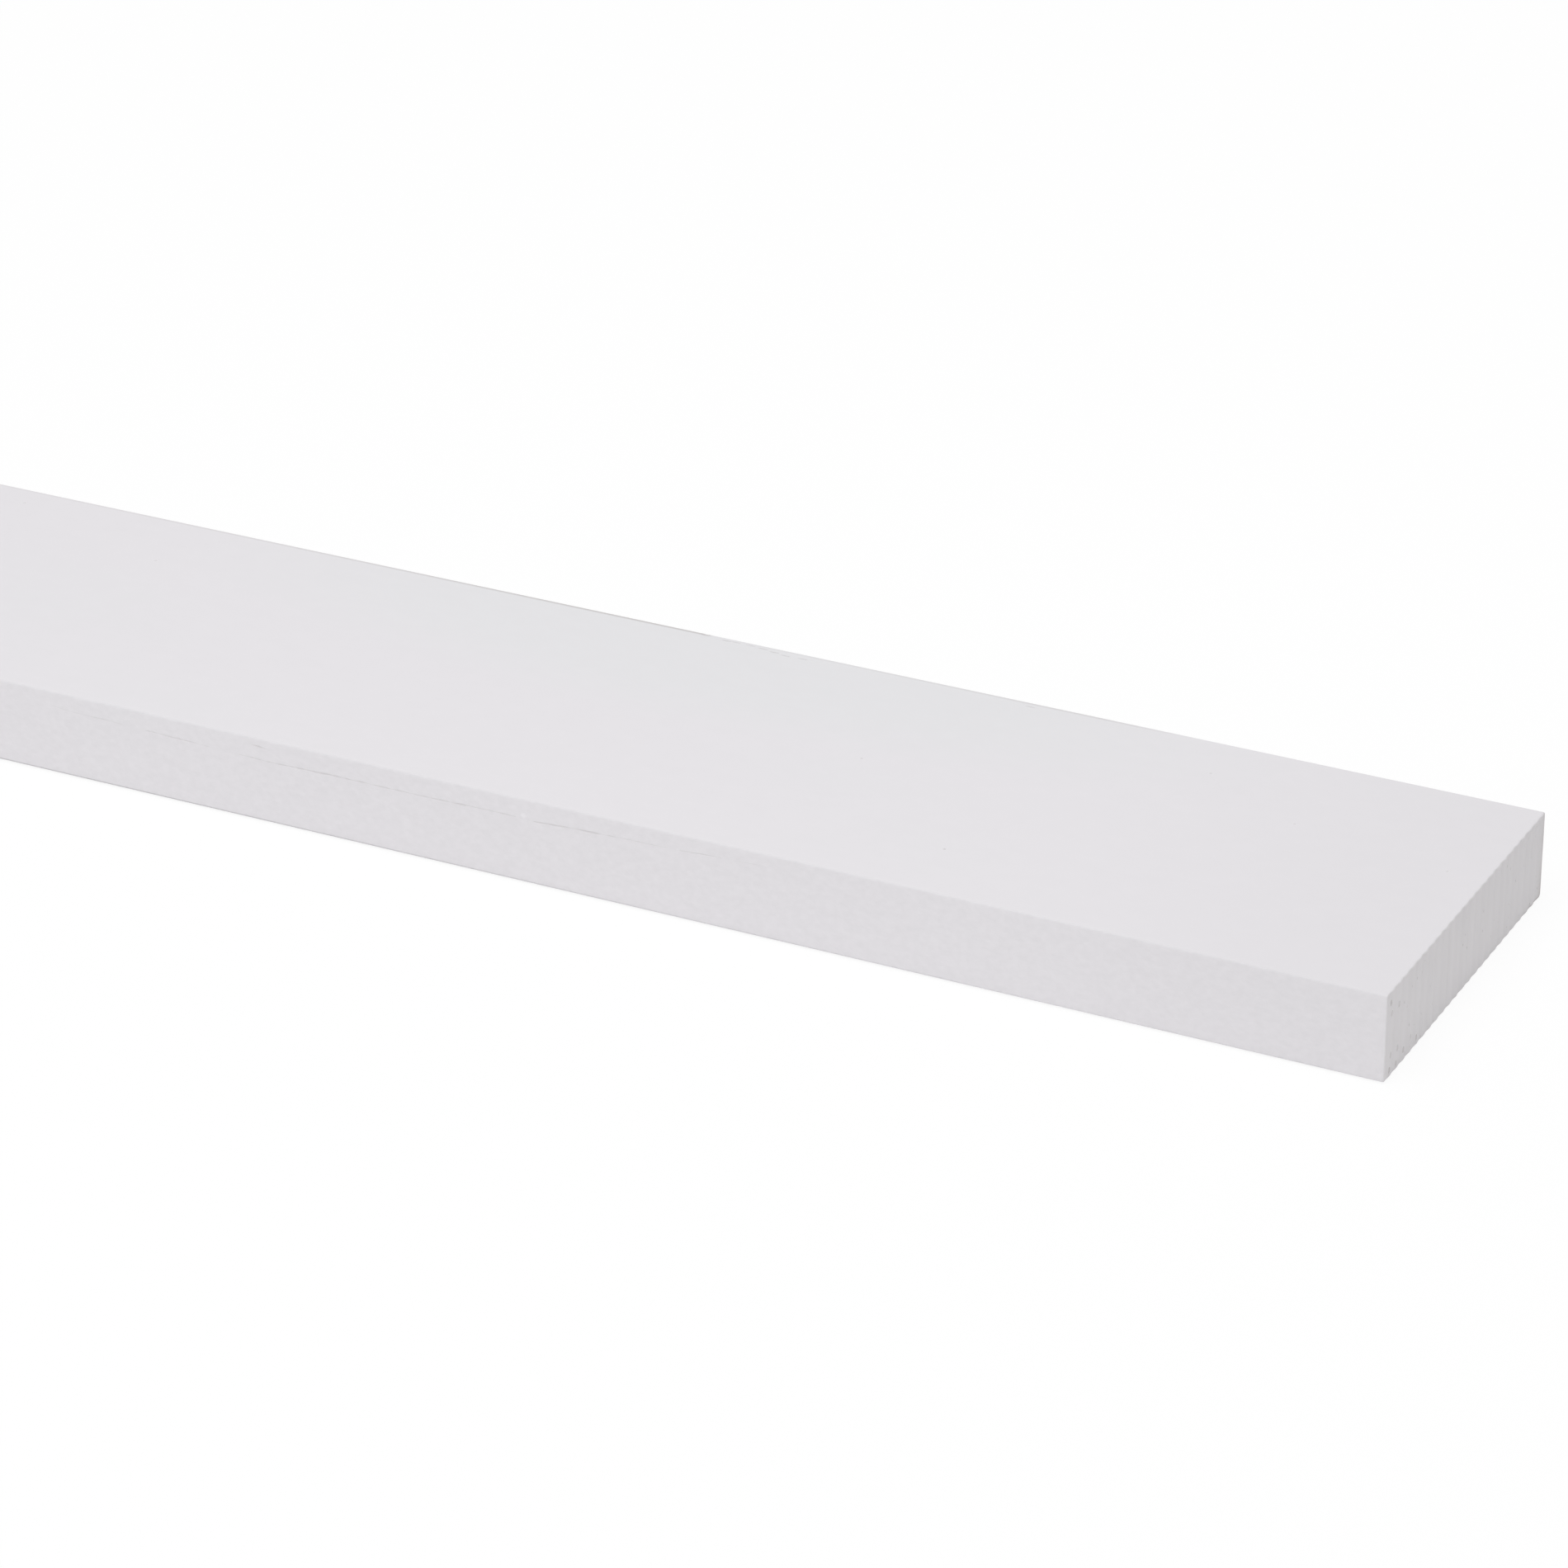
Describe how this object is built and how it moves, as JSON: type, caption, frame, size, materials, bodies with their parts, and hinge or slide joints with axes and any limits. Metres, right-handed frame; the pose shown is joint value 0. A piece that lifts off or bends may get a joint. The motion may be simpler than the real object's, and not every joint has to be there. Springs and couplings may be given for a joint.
{
  "type": "flat trim strip",
  "caption": "Long flat wooden trim strip of plain rectangular section, primed white, with eased long arrises and square sawn ends, for covering joints and framing openings.",
  "frame": {"origin": "middle of the back face, which lies on the floor", "axes": "+X along the strip's length, +Y across its width, +Z from the back face to the show face"},
  "size_m": [2.4, 0.055, 0.012],
  "materials": {
    "white_primer": "matte"
  },
  "bodies": {
    "root": {"trim_strip": "white_primer"}
  },
  "joints": []
}
